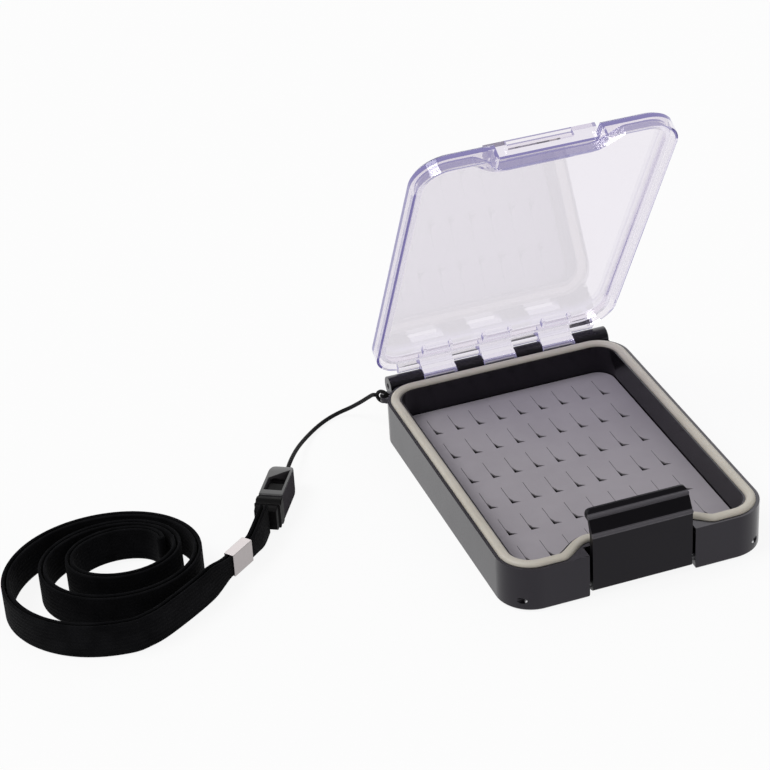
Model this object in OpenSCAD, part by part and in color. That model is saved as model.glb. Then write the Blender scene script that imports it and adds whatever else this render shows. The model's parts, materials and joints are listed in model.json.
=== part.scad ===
// Pocket fly box: a smoke-grey base with a soft seal and slit foam, a clear lid on a
// three-knuckle hinge, a front latch, and a neck lanyard on a small release buckle.
// Millimetres, +Z up, +X to the right along the front, front and latch towards -Y.
// The origin is the middle of the base's flat underside.

/* [Base] */
// Width of the box, left to right
body_w = 76; // [70:1:90]
// Depth of the box, front face to rear face
body_d = 101.6; // [96:0.2:120]
// Height of the base up to the land round the seal
base_h = 13.4; // [12.6:0.1:20]
// Radius of the upright corners
corner_r = 10; // [9:0.5:14]
// Thickness of the base's floor
floor_t = 1.5; // [1:0.1:3]
// Bevel of the underside's edge
foot_bevel = 0.6; // [0.4:0.1:1]

/* [Seal] */
// Outer wall face to the seal's groove
seal_inset = 0.95; // [0.95:0.05:1.4]
// Width of the seal's groove
groove_w = 2.9; // [2:0.1:3]
// Depth of the seal's groove
groove_d = 1.2; // [0.8:0.1:2]
// Height that the seal stands above the land
seal_proud = 1.0; // [0.5:0.1:1.5]
// Thin raised wall between the groove and the inside
inner_lip = 0.45; // [0.4:0.05:1.2]
// How far the seal steps in behind the latch
jog_d = 5.2; // [5:0.1:7]
// How far past the latch's side the step starts at the front wall
jog_out = 7.6; // [6.5:0.1:9]
// How far inside the latch's side the step reaches its depth
jog_in = 1.9; // [1:0.1:4]

/* [Foam] */
// Thickness of the foam sheet
foam_t = 3.3; // [2:0.1:6]
// Gap round the foam
foam_gap = 0.25; // [0.1:0.05:1]
// Slits in one row
slit_cols = 9; // [5:1:10]
// Rows of slits
slit_rows = 6; // [3:1:6]
// Distance between slits in a row
slit_pitch_x = 6.6; // [6:0.1:6.8]
// Distance between rows
slit_pitch_y = 13.9; // [12:0.1:14.5]
// Length of one slit
slit_len = 8.6; // [6:0.1:10]
// Width of the cut
slit_w = 0.15; // [0.15:0.05:0.6]
// Depth of the cut
slit_deep = 1.8; // [1:0.1:2]
// Length of the notch's foot at the front of a slit
notch_w = 2.4; // [1:0.1:3]
// Length of the notch along the slit
notch_l = 3.4; // [1:0.1:4]
// Front wall to the front ends of the first row
slit_front = 14.8; // [14:0.1:18]

/* [Lid] */
// Gap between the closed lid's skirt and the base's land
lid_seat = 0.1; // [0.05:0.05:0.4]
// Height of the lid, skirt edge to top
lid_h = 5.2; // [5:0.1:8]
// Thickness of the lid's clear plate
plate_t = 1.8; // [1.2:0.1:2.4]
// Bevel of the lid's top edge
lid_bevel = 0.8; // [0.4:0.1:1]
// Gap on the land between the closed lid's skirt and the seal's groove
skirt_gap = 0.15; // [0.1:0.05:0.15]
// Thickness of the rib that presses on the seal
rib_t = 1.2; // [0.8:0.1:1.6]
// Gap between the closed lid's rib and the seal
rib_gap = 0.3; // [0.2:0.05:0.6]
// Room between the seal's sides and the walls of the lid's notch
seal_room = 0.2; // [0.1:0.05:0.4]
// Angle that the lid stands open, from closed
lid_open = 60.4; // [0:0.1:170]
// Gap between the latch and each side of the lid's notch
notch_gap = 0.8; // [0.5:0.1:1.5]
// Depth of that notch
lid_notch_d = 5.3; // [5.2:0.1:6]
// Height of the catch above the lid's plate
catch_h = 3.4; // [2.6:0.1:3.8]
// Length of the catch, front to back
catch_l = 3.6; // [3:0.1:5]
// How far the catch reaches past the notch at each end
catch_past = 0.9; // [0.1:0.1:1.5]
// Length of the slot in the catch
catch_slot_w = 19; // [12:0.5:22]
// Thickness of the catch's walls round the slot
catch_wall = 1.1; // [0.8:0.1:1.4]
// Depth of the slot in the catch
catch_slot_d = 2.2; // [0.8:0.1:2.4]
// How far the lid's rear lip reaches down over the hinge's barrels, as an angle about the pin
lip_angle = 126; // [124:1:132]
// Gap between that lip and the barrels
lip_gap = 0.15; // [0.1:0.05:0.3]
// Thickness of that lip
lip_t = 0.9; // [0.6:0.1:1.2]

/* [Hinge] */
// Rear face to the hinge's axis
hinge_back = 3.9; // [3.7:0.1:5]
// Land down to the hinge's axis
hinge_drop = 2.0; // [1.9:0.1:4]
// Outer radius of the knuckles
knuckle_r = 2.9; // [2.4:0.05:2.9]
// Length of one clear knuckle
knuckle_w = 10.2; // [8:0.1:12]
// Distance between the clear knuckles
knuckle_pitch = 19; // [17:0.1:20]
// Gap between neighbouring knuckles
knuckle_gap = 0.2; // [0.1:0.05:0.5]
// Half of the whole hinge's length
hinge_half = 35; // [33.5:0.1:35]
// Shift of the hinge to the right, clear of the lanyard's lug
hinge_shift = 1.5; // [0:0.1:2]
// Radius of the hinge pin
hinge_pin_r = 0.8; // [0.5:0.05:1.2]
// Running clearance of a pin in its bore, on the radius
pin_play = 0.06; // [0.02:0.01:0.1]

/* [Latch] */
// Width of the latch
latch_w = 28.8; // [24:0.1:36]
// Gap between the latch and each side of the base's recess
recess_gap = 0.9; // [0.5:0.1:1.5]
// Depth of that recess
recess_d = 4.3; // [4.2:0.1:4.6]
// Thickness of the latch's plate
latch_t = 1.9; // [1.4:0.1:2]
// Underside to the latch's lower edge
latch_low = 1.6; // [1.2:0.1:2]
// Front face to the latch pin's axis
latch_pin_in = 2.0; // [2:0.05:2.2]
// Underside to the latch pin's axis
latch_pin_up = 3.2; // [3:0.1:4]
// Radius of the latch pin
latch_pin_r = 0.8; // [0.5:0.05:1]
// Clearance under the hook, above the closed lid's catch, with the latch as drawn
hook_clear = 0.45; // [0.4:0.05:0.8]
// Gap from the hook's tip back to the closed lid's catch, with the latch as drawn
tip_gap = 0.3; // [0.2:0.05:0.6]
// Height of the hook's solid nose
nose_h = 2.6; // [2.4:0.1:4.5]
// Radius of the two ridges across the latch's front
ridge_r = 0.5; // [0.25:0.05:0.5]

/* [Lanyard] */
// Radius of the lug's eye
lug_hole_r = 1.0; // [0.9:0.05:1.1]
// Outer radius of the lug
lug_r = 2.1; // [2:0.05:2.3]
// Thickness of the lug
lug_t = 1.6; // [1.2:0.1:1.8]
// How far the eye's middle stands out from the rounded corner
lug_out = 1.2; // [1.1:0.1:1.8]
// Land down to the middle of the lug
lug_drop = 1.9; // [1.5:0.1:4]
// Diameter of the thin tether cord
cord_d = 1.2; // [0.9:0.1:1.3]
// Width of the woven strap
strap_w = 10; // [8:0.5:10]
// Thickness of the woven strap
strap_t = 0.9; // [0.7:0.05:0.95]
// Distance between the strap's two runs, middle to middle
strap_pair = 1.4; // [1.4:0.05:1.6]
// Height of the strap where the ferrule squeezes it
strap_pinch = 6.2; // [5.6:0.1:8]
// Turns in the coiled strap
strap_turns = 2.75; // [2:0.25:2.75]
// Length of the metal ferrule
ferrule_l = 8.5; // [6:0.1:8.5]
// Thickness of the ferrule's metal
ferrule_t = 0.3; // [0.3:0.05:0.4]
// Length of the buckle's socket
socket_l = 16.6; // [15.6:0.1:16.6]
// Height of the buckle as it stands
buckle_w = 8.2; // [7.8:0.1:9]
// Thickness of the buckle
buckle_t = 7.0; // [5.4:0.1:7.2]

/* [Hidden] */
$fn = 48;
eps = 0.02;

front_y = -body_d / 2;
rear_y = body_d / 2;
wall_t = seal_inset + groove_w + inner_lip;
skirt_t = seal_inset - skirt_gap;
seal_top = base_h + seal_proud;
foam_top = floor_t + foam_t;

hinge_y = rear_y + hinge_back;
hinge_z = base_h - hinge_drop;
lid_low = base_h + lid_seat;
lid_top = lid_low + lid_h;
plate_low = lid_top - plate_t;
catch_top = lid_top + catch_h;
rib_mid = seal_inset + groove_w / 2;
recess_w = latch_w + 2 * recess_gap;
notch_half = latch_w / 2 + notch_gap;

latch_y = front_y + latch_pin_in;
latch_z = latch_pin_up;
latch_eye_r = latch_pin_in;
hook_z = catch_top + hook_clear;
tip_y = front_y + lid_notch_d - tip_gap;

smoke = [0.23, 0.22, 0.235];
black = [0.09, 0.09, 0.10];
clear = [0.78, 0.78, 0.86, 0.45];
steel = [0.75, 0.75, 0.77];
olive = [0.78, 0.76, 0.69];
foam_grey = [0.56, 0.545, 0.57];

// ---- outlines seen from above ----

// Rounded rectangle of the box, drawn in by an inset
module box_outline(inset) {
    w = body_w - 2 * inset;
    d = body_d - 2 * inset;
    r = corner_r - inset;
    square([w - 2 * r, d], center = true);
    square([w, d - 2 * r], center = true);
    for (sx = [-1, 1], sy = [-1, 1])
        translate([sx * (w / 2 - r), sy * (d / 2 - r)])
            circle(r);
}

// One side of the step behind the latch, a smooth S drawn in by an inset
jog_wide = latch_w / 2 + jog_out;
jog_narrow = latch_w / 2 - jog_in;
jog_steps = 8;
jog_run = jog_wide - jog_narrow;
function jog_slope(t) = jog_d * (6 * t - 6 * t * t) / jog_run;
function jog_point(t, inset) =
    let (m = jog_slope(t), len = sqrt(1 + m * m))
    [-jog_wide + t * jog_run - inset * m / len,
     front_y + jog_d * (3 * t * t - 2 * t * t * t) + inset / len];
function jog_side(inset) = [for (k = [0:jog_steps]) jog_point(k / jog_steps, inset)];
function mirrored(pts) = [for (k = [len(pts) - 1:-1:0]) [-pts[k][0], pts[k][1]]];

// The box's outline with the step taken out, for the seal and all that follows it
module seal_outline(inset) {
    left = jog_side(inset);
    out = front_y - 1;
    difference() {
        box_outline(inset);
        polygon(concat([[left[0][0], out]], left, mirrored(left), [[-left[0][0], out]]));
    }
}

// Right-hand edge of a box's side view, w out from the middle, bevelled low and high
function bevelled_edge(w, z0, z1, low, high) = concat(
    low > 0 ? [[w - low, z0], [w, z0 + low]] : [[w, z0]],
    high > 0 ? [[w, z1 - high], [w - high, z1]] : [[w, z1]]);

// The whole side view, both edges
module bevelled(w, z0, z1, low, high) {
    edge = bevelled_edge(w, z0, z1, low, high);
    polygon(concat(edge, mirrored(edge)));
}

// The box's outline as a solid between two heights, bevelled low and high
module outline_solid(z0, z1, low, high) {
    half_x = body_w / 2 - corner_r;
    half_y = body_d / 2 - corner_r;
    along_x(-half_x, half_x)
        bevelled(body_d / 2, z0, z1, low, high);
    rotate([0, 0, 90])
        along_x(-half_y, half_y)
            bevelled(body_w / 2, z0, z1, low, high);
    for (sx = [-1, 1], sy = [-1, 1])
        translate([sx * half_x, sy * half_y, 0])
            rotate_extrude()
                polygon(concat([[0, z0]], bevelled_edge(corner_r, z0, z1, low, high), [[0, z1]]));
}

// ---- base ----

// Where the hinge's pieces lie along X
function knuckle_x(k) = hinge_shift + (k - 1) * knuckle_pitch;
knuckle_half = knuckle_w / 2;
hinge_left = hinge_shift - hinge_half;
hinge_right = hinge_shift + hinge_half;
// Start and end of each of the base's four barrels
barrels = [[hinge_left, knuckle_x(0) - knuckle_half - knuckle_gap],
           [knuckle_x(0) + knuckle_half + knuckle_gap, knuckle_x(1) - knuckle_half - knuckle_gap],
           [knuckle_x(1) + knuckle_half + knuckle_gap, knuckle_x(2) - knuckle_half - knuckle_gap],
           [knuckle_x(2) + knuckle_half + knuckle_gap, hinge_right]];

// Turns a shape drawn in Y and Z into a bar along X
module along_x(x0, x1) {
    translate([x0, 0, 0])
        rotate([90, 0, 90])
            linear_extrude(x1 - x0)
                children();
}

// A base barrel, with the web that ties it to the rear wall
module base_barrel(x0, x1) {
    web_root = rear_y - wall_t / 2;
    along_x(x0, x1) {
        translate([hinge_y, hinge_z])
            circle(knuckle_r);
        polygon([[web_root, hinge_z - knuckle_r - 2.4], [rear_y, hinge_z - knuckle_r - 2.4],
                 [hinge_y + knuckle_r * 0.5, hinge_z - knuckle_r * 0.86],
                 [hinge_y, hinge_z], [web_root, hinge_z]]);
    }
}

// Middle of the lug's eye, just outside the rear left corner
lug_x = -body_w / 2 + corner_r - (corner_r + lug_out) / sqrt(2);
lug_y = rear_y - corner_r + (corner_r + lug_out) / sqrt(2);
lug_z = base_h - lug_drop;

module lug() {
    root = lug_out + wall_t / 2;
    translate([lug_x, lug_y, lug_z - lug_t / 2])
        cylinder(r = lug_r, h = lug_t);
    translate([lug_x, lug_y, lug_z - lug_t / 2])
        rotate([0, 0, -45])
            translate([0, -lug_r, 0])
                cube([root, 2 * lug_r, lug_t]);
}

module base_shell() {
    recess_round = 1.2;
    color(smoke)
    difference() {
        union() {
            outline_solid(0, base_h, foot_bevel, 0);
            for (b = barrels)
                base_barrel(b[0], b[1]);
            lug();
        }
        // the inside
        translate([0, 0, floor_t])
            linear_extrude(base_h)
                seal_outline(wall_t);
        // the seal's groove
        translate([0, 0, base_h - groove_d])
            linear_extrude(groove_d + 1)
                difference() {
                    seal_outline(seal_inset);
                    seal_outline(seal_inset + groove_w);
                }
        // the latch's recess
        translate([-recess_w / 2, front_y - 1, -1])
            cube([recess_w, recess_d + 1, base_h + 2]);
        // rounded lower corners of the front wall, either side of the latch
        for (s = [-1, 1])
            translate([s * recess_w / 2, front_y - 1, 0])
                mirror([s < 0 ? 1 : 0, 0, 0])
                    difference() {
                        translate([-eps, 0, -eps])
                            cube([recess_round, recess_d + 1, recess_round]);
                        translate([recess_round, -1, recess_round])
                            rotate([-90, 0, 0])
                                cylinder(r = recess_round, h = recess_d + 3);
                    }
        // bores for the two pins, and the lug's eye
        translate([-body_w, latch_y, latch_z])
            rotate([0, 90, 0])
                cylinder(r = latch_pin_r + pin_play, h = 2 * body_w);
        translate([hinge_left - 1, hinge_y, hinge_z])
            rotate([0, 90, 0])
                cylinder(r = hinge_pin_r + pin_play, h = 2 * hinge_half + 2);
        translate([lug_x, lug_y, lug_z - lug_t])
            cylinder(r = lug_hole_r, h = 2 * lug_t);
    }
}

// ---- soft seal and foam ----

module seal_gasket() {
    side_gap = 0.05;
    shoulder = 0.45;
    inner = seal_inset + groove_w - side_gap;
    outer = seal_inset + side_gap;
    color(olive) {
        translate([0, 0, base_h - groove_d])
            linear_extrude(groove_d + seal_proud - shoulder)
                difference() {
                    seal_outline(outer);
                    seal_outline(inner);
                }
        translate([0, 0, seal_top - shoulder - eps])
            linear_extrude(shoulder + eps)
                difference() {
                    seal_outline(outer + shoulder);
                    seal_outline(inner - shoulder);
                }
    }
}

module foam_insert() {
    first_x = -(slit_cols - 1) * slit_pitch_x / 2;
    color(foam_grey)
    difference() {
        translate([0, 0, floor_t])
            linear_extrude(foam_t)
                seal_outline(wall_t + foam_gap);
        for (c = [0:slit_cols - 1], r = [0:slit_rows - 1])
            translate([first_x + c * slit_pitch_x, front_y + slit_front + r * slit_pitch_y,
                       foam_top - slit_deep])
                linear_extrude(slit_deep + 1) {
                    translate([-slit_w / 2, 0])
                        square([slit_w, slit_len]);
                    polygon([[0, 0], [notch_w, 0], [0.35 * notch_w, 0.3 * notch_l], [0, notch_l]]);
                }
    }
}

// ---- lid ----

// Turns its children about the hinge by an angle, positive to open
module lid_turn(angle) {
    translate([0, hinge_y, hinge_z])
        rotate([-angle, 0, 0])
            translate([0, -hinge_y, -hinge_z])
                children();
}

// A clear knuckle and its strap, in the closed lid's place
module lid_knuckle(x) {
    along_x(x - knuckle_half, x + knuckle_half) {
        translate([hinge_y, hinge_z])
            circle(knuckle_r);
        polygon([[rear_y - skirt_t / 2, lid_low + 0.4], [rear_y - skirt_t / 2, lid_top - 1.2],
                 [rear_y + 0.5, lid_top - 1.2], [hinge_y + knuckle_r * 0.7, hinge_z + knuckle_r * 0.7],
                 [hinge_y, hinge_z], [rear_y + 0.9, hinge_z + 1.6], [rear_y + 0.4, lid_low + 0.4]]);
    }
}

// A point about the hinge's axis, in the side view
function about_hinge(r, a) = [hinge_y + r * cos(a), hinge_z + r * sin(a)];

// The lip that closes the gap between the lid's rear wall and the barrels
module rear_lip() {
    near = knuckle_r + lip_gap;
    root = lid_low + 2 * lip_t + 0.8;
    lip_short = 3.6;
    along_x(hinge_left + lip_short, hinge_right - lip_short)
        polygon([[rear_y - skirt_t / 2, lid_low], [rear_y, lid_low], about_hinge(near, lip_angle),
                 about_hinge(near + lip_t, lip_angle - 6), [rear_y, root],
                 [rear_y - skirt_t / 2, root]]);
}

// The lid's outline from above: the box's, with the latch's notch taken out
module lid_outline(inset) {
    difference() {
        box_outline(inset);
        translate([-notch_half - inset, front_y - 1])
            square([2 * (notch_half + inset), lid_notch_d + inset + 1]);
    }
}

module closed_lid() {
    pocket_w = knuckle_w * 0.9;
    pocket_l = 2.4;
    pocket_rib = 0.9;
    pocket_h = 1.6;
    pocket_y = rear_y - rib_mid - rib_t / 2 - pocket_l;
    difference() {
        union() {
            difference() {
                outline_solid(lid_low, lid_top, 0, lid_bevel);
                translate([0, 0, lid_low - 1])
                    linear_extrude(plate_low - lid_low + 1)
                        lid_outline(skirt_t);
                translate([-notch_half, front_y - 1, lid_low - 1])
                    cube([2 * notch_half, lid_notch_d + 1, lid_h + 2]);
                // room for the seal, where it crosses the notch's walls
                translate([0, 0, lid_low - 1])
                    linear_extrude(seal_top + rib_gap - lid_low + 1)
                        difference() {
                            seal_outline(seal_inset - seal_room + 0.05);
                            seal_outline(seal_inset + groove_w + seal_room);
                        }
            }
            rear_lip();
            // the rib that presses on the seal
            translate([0, 0, seal_top + rib_gap])
                linear_extrude(plate_low - seal_top - rib_gap + eps)
                    difference() {
                        seal_outline(rib_mid - rib_t / 2);
                        seal_outline(rib_mid + rib_t / 2);
                    }
            // the catch on top, behind the notch
            translate([-notch_half - catch_past, front_y + lid_notch_d, lid_top - eps])
                cube([2 * (notch_half + catch_past), catch_l, catch_h + eps]);
            // low frames inside, one above each knuckle
            for (k = [0:2])
                translate([knuckle_x(k) - pocket_w / 2, pocket_y, plate_low - pocket_h])
                    difference() {
                        cube([pocket_w, pocket_l, pocket_h + eps]);
                        translate([pocket_rib, -1, -1])
                            cube([pocket_w - 2 * pocket_rib, pocket_l + 1 - pocket_rib,
                                  pocket_h + 1]);
                    }
            for (k = [0:2])
                lid_knuckle(knuckle_x(k));
        }
        // the slot in the catch
        translate([-catch_slot_w / 2, front_y + lid_notch_d + catch_wall, catch_top - catch_slot_d])
            cube([catch_slot_w, catch_l - 2 * catch_wall, catch_slot_d + 1]);
        // the hinge pin's bore
        translate([hinge_left, hinge_y, hinge_z])
            rotate([0, 90, 0])
                cylinder(r = hinge_pin_r + pin_play + 0.02, h = 2 * hinge_half);
    }
}

module clear_lid() {
    color(clear)
        lid_turn(lid_open)
            closed_lid();
}

module hinge_pin() {
    end_in = 0.3;
    color(steel)
        translate([hinge_left + end_in, hinge_y, hinge_z])
            rotate([0, 90, 0])
                cylinder(r = hinge_pin_r, h = 2 * (hinge_half - end_in));
}

// ---- latch ----

// Side view of the latch: front plate, sloping hood, hook's nose, and the eye round the pin
module latch_profile() {
    low_fold = [front_y, hook_z - 3.35];
    high_fold = [front_y + 2.75, hook_z + nose_h - 1.55];
    polygon([[front_y, latch_low + 0.5], [front_y + 0.5, latch_low],
             [front_y + latch_t, latch_low], [front_y + latch_t, low_fold[1] - 0.7],
             [front_y + latch_t + 1.3, hook_z - 0.2],
             [tip_y, hook_z], [tip_y + 0.25, hook_z + 0.5], [tip_y + 0.25, hook_z + nose_h - 0.6],
             [tip_y - 0.1, hook_z + nose_h], [tip_y - 0.7, hook_z + nose_h],
             high_fold, low_fold]);
    for (fold = [low_fold, high_fold])
        translate(fold + [0.1, 0])
            circle(ridge_r, $fn = 16);
    translate([latch_y, latch_z])
        circle(latch_eye_r);
}

module latch() {
    top = hook_z + nose_h;
    round_top = 1.6;
    color(black)
    difference() {
        intersection() {
            along_x(-latch_w / 2, latch_w / 2)
                latch_profile();
            // front view with rounded upper corners
            translate([0, front_y + latch_w, 0])
                rotate([90, 0, 0])
                    linear_extrude(2 * latch_w) {
                        translate([-latch_w / 2, 0])
                            square([latch_w, top - round_top]);
                        translate([-latch_w / 2 + round_top, 0])
                            square([latch_w - 2 * round_top, top]);
                        for (s = [-1, 1])
                            translate([s * (latch_w / 2 - round_top), top - round_top])
                                circle(round_top);
                    }
        }
        translate([-latch_w, latch_y, latch_z])
            rotate([0, 90, 0])
                cylinder(r = latch_pin_r + pin_play + 0.02, h = 2 * latch_w);
    }
}

module latch_pin() {
    half = body_w / 2 - corner_r
         + sqrt(pow(corner_r, 2) - pow(corner_r - latch_pin_in, 2)) - 0.8;
    color(steel)
        translate([-half, latch_y, latch_z])
            rotate([0, 90, 0])
                cylinder(r = latch_pin_r, h = 2 * half);
}

// ---- swept tubes ----

function unit(v) = v / norm(v);
function flat_left(t) = unit([-t[1], t[0], 0]);
// Direction of a route at point k
function heading(pts, k) =
    unit(pts[min(k + 1, len(pts) - 1)] - pts[max(k - 1, 0)]);

// One closed tube through rings of equally many points, each ring listed the same way round
module tube(rings) {
    m = len(rings[0]);
    n = len(rings);
    side = [for (i = [0:n - 2], j = [0:m - 1])
        let (a = i * m + j, b = i * m + (j + 1) % m, c = a + m, d = b + m)
        each [[a, b, d], [a, d, c]]];
    first = [for (j = [1:m - 2]) [0, j + 1, j]];
    last = [for (j = [1:m - 2]) [(n - 1) * m, (n - 1) * m + j, (n - 1) * m + j + 1]];
    polyhedron(points = [for (r = rings) each r], faces = concat(side, first, last));
}

// ---- tether: loop through the lug, and the thin cord to the buckle ----

loop_r = lug_hole_r + cord_d / 2 + 0.1;
loop_mid = (lug_hole_r + lug_r) / 2;

module tether_loop() {
    color(black)
        translate([lug_x, lug_y, lug_z])
            rotate([0, 0, 135])
                translate([loop_mid, 0, 0])
                    rotate([90, 0, 0])
                        rotate_extrude()
                            translate([loop_r, 0])
                                circle(cord_d / 2 - 0.05, $fn = 24);
}

// The cord's way from the loop at the lug to the buckle's nose
tether_route = [[-38.65, 51.5, 11.5], [-39.1, 52.6, 11.0], [-39.9, 54.9, 9.0], [-41.4, 58.0, 6.0],
                [-43.8, 61.0, 3.0], [-46.8, 62.4, 1.3], [-50.4, 61.6, 0.7], [-54.2, 59.2, 0.7],
                [-58.4, 55.4, 1.0], [-62.8, 50.0, 2.0], [-66.3, 44.6, 3.2], [-69.2, 39.5, 4.1],
                [-71.3, 35.8, 4.2], [-72.9, 33.2, 4.1]];

module tether_cord() {
    sides = 8;
    r = cord_d / 2;
    color(black)
        tube([for (k = [0:len(tether_route) - 1])
            let (t = heading(tether_route, k), n = flat_left(t), b = cross(t, n))
            [for (j = [0:sides - 1])
                tether_route[k] + r * cos(j * 360 / sides) * n + r * sin(j * 360 / sides) * b]]);
}

// ---- buckle, standing on its edge ----

buckle_at = [-72.9, 33.2];
buckle_turn = 238.9;
mid_z = buckle_w / 2;
frame_l = 6.5;
insert_end = socket_l + 0.3 + frame_l;

// Puts a buckle piece, drawn along X from the nose, in its place
module at_buckle() {
    translate([buckle_at[0], buckle_at[1], 0])
        rotate([0, 0, buckle_turn])
            children();
}

// Extrudes a side view, drawn in X and Z, evenly to both sides
module slab(t) {
    translate([0, t / 2, 0])
        rotate([90, 0, 0])
            linear_extrude(t)
                children();
}

// Half of a buckle piece's side view, mirrored about the buckle's middle
module mirrored_side(pts) {
    n = len(pts);
    polygon(concat([for (p = pts) [p[0], mid_z + p[1]]],
                   [for (k = [n - 1:-1:0]) [pts[k][0], mid_z - pts[k][1]]]));
}

socket_wall = 1.0;

module buckle_socket() {
    tall = buckle_w / 2;
    wide = buckle_t / 2;
    window_from = 4;
    window_to = socket_l - 2.6;
    color(black)
    at_buckle()
        difference() {
            intersection() {
                slab(buckle_t)
                    mirrored_side([[0, tall - 1.9], [0.7, tall - 1.15], [1.8, tall - 0.55],
                                   [3.2, tall - 0.15], [5, tall], [socket_l - 0.6, tall],
                                   [socket_l, tall - 0.3]]);
                // plan view: a rounded nose
                linear_extrude(buckle_w + 1)
                    polygon([[0, wide - 1.7], [0.8, wide - 0.9], [2.2, wide - 0.35], [4, wide],
                             [socket_l, wide], [socket_l, -wide], [4, -wide],
                             [2.2, 0.35 - wide], [0.8, 0.9 - wide], [0, 1.7 - wide]]);
            }
            // the mouth
            slab(buckle_t - 2 * socket_wall)
                mirrored_side([[5, tall - 3], [7, tall - socket_wall],
                               [socket_l + 1, tall - socket_wall]]);
            // windows over the prongs, one above and one below, slanting at the nose's end
            for (low = [-1, mid_z + tall - 3])
                translate([0, 0, low])
                    linear_extrude(mid_z - tall + 4)
                        polygon([[window_from + 4.4, socket_wall - wide],
                                 [window_from, wide - socket_wall],
                                 [window_to, wide - socket_wall],
                                 [window_to, socket_wall - wide]]);
        }
}

module buckle_insert() {
    play = 0.2;
    arm_t = buckle_t - 2 * socket_wall - 2 * play;
    arm_top = buckle_w / 2 - socket_wall - play;
    body_at = socket_l + 0.3;
    tall = buckle_w / 2;
    color(black)
    at_buckle() {
        // prongs, with their shoulders under the socket's windows, and the guide between them
        for (s = [-1, 1])
            slab(arm_t)
                polygon([[body_at + eps, mid_z + s * (arm_top - 1.5)], [body_at + eps, mid_z + s * arm_top],
                         [9.2, mid_z + s * arm_top], [8.2, mid_z + s * (arm_top - 1.1)],
                         [9.4, mid_z + s * (arm_top - 1.5)]]);
        slab(1.4)
            polygon([[body_at + eps, mid_z - 0.6], [body_at + eps, mid_z + 0.6],
                     [7.5, mid_z + 0.4], [7.5, mid_z - 0.4]]);
        // stepped body
        slab(buckle_t + 0.4)
            mirrored_side([[body_at, tall - 0.4], [body_at + 0.9, tall], [body_at + 1.9, tall],
                           [body_at + 2.6, tall - 0.7], [body_at + 3.4, tall - 0.7],
                           [body_at + 4, tall - 0.1]]);
        // end bar, which the strap is sewn round
        slab(buckle_t - 0.6)
            mirrored_side([[body_at + 4 - eps, tall - 0.5], [body_at + frame_l - 1, tall - 0.5],
                           [body_at + frame_l, tall - 1.2]]);
    }
}

// ---- woven strap, doubled, coiled on the floor ----

// The strap's way from the buckle through the ferrule to the coil
tail_route = [[-85.2, 12.85, 5.05], [-86.6, 10.4, 5.05], [-88.5, 7.3, 5.05], [-90.9, 4.1, 5.05],
              [-93.6, 1.1, 5.05], [-100.6, -4.3, 5.05], [-105.0, -8.0, 5.05],
              [-110.5, -12.5, 5.05], [-117.0, -17.0, 5.05], [-124.0, -21.3, 5.05],
              [-128.2, -23.0, 5.05]];
// How far the strap is squeezed at each of those points, from none to the ferrule's height
tail_squeeze = [0, 0, 0.1, 0.5, 1, 1, 0.3, 0, 0, 0, 0];
ferrule_from = 4;
// The coil: each turn is an oval, smaller than the last, and its middle creeps back
coil_mid = [-132.5, 2.5];
coil_creep = [2.2, 2.7];
coil_size = [29.8, 26.4];
coil_shrink = [7.1, 7.15];
turn_steps = 24;
coil_z = strap_w / 2 + 0.05;
// The inner turns lie closer together than the outer ones
coil_pull = 0.16;
function coil_point(t) =
    let (a = 270 - 360 * t, u = t + coil_pull * (sin(90 * (t - 0.25)) - sin(-22.5) * max(0, 1 - 2 * t)))
    [coil_mid[0] + coil_creep[0] * u + (coil_size[0] - coil_shrink[0] * u) * cos(a),
     coil_mid[1] + coil_creep[1] * u + (coil_size[1] - coil_shrink[1] * u) * sin(a), coil_z];
strap_middle = concat(tail_route,
                      [for (k = [0:strap_turns * turn_steps]) coil_point(k / turn_steps)]);
strap_last = len(strap_middle) - 1;
function strap_side(k, s) =
    strap_middle[k] + s * strap_pair / 2 * flat_left(heading(strap_middle, k));
fold_steps = 4;
fold_n = flat_left(heading(strap_middle, strap_last));
fold_t = heading(strap_middle, strap_last);
// Out along one side, round the fold in the middle of the coil, and back along the other
strap_path = concat(
    [for (k = [0:strap_last]) strap_side(k, 1)],
    [for (k = [1:fold_steps - 1]) let (a = 180 * k / fold_steps)
        strap_middle[strap_last] + strap_pair / 2 * (cos(a) * fold_n + sin(a) * fold_t)],
    [for (k = [strap_last:-1:0]) strap_side(k, -1)]);

// Half of the strap's height at a point of the strap's middle line
function squeeze(k) = k < len(tail_squeeze) ? tail_squeeze[k] : 0;
function half_high(k) = (strap_w + (strap_pinch - strap_w) * squeeze(k)) / 2;
// A point of the path counts back along the middle line after the fold
function middle_of(k) = k <= strap_last ? k : min(strap_last, len(strap_path) - 1 - k);
function strap_section(h) = [[0, h], [-strap_t / 2, h - 0.4], [-strap_t / 2, 0.4 - h], [0, -h],
                             [strap_t / 2, 0.4 - h], [strap_t / 2, h - 0.4]];

// Least distance between parts of the strap that aren't neighbours along it
strap_gap = min([for (i = [0:len(strap_path) - 1], j = [i + 6:len(strap_path) - 1])
    norm(strap_path[i] - strap_path[j])]) - strap_t;
echo(str("least gap of the strap to itself, mm: ", strap_gap));

module lanyard_strap() {
    color(black)
        tube([for (k = [0:len(strap_path) - 1])
            let (n = flat_left(heading(strap_path, k)))
            [for (p = strap_section(half_high(middle_of(k)))) strap_path[k] + p[0] * n + [0, 0, p[1]]]]);
}

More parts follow.
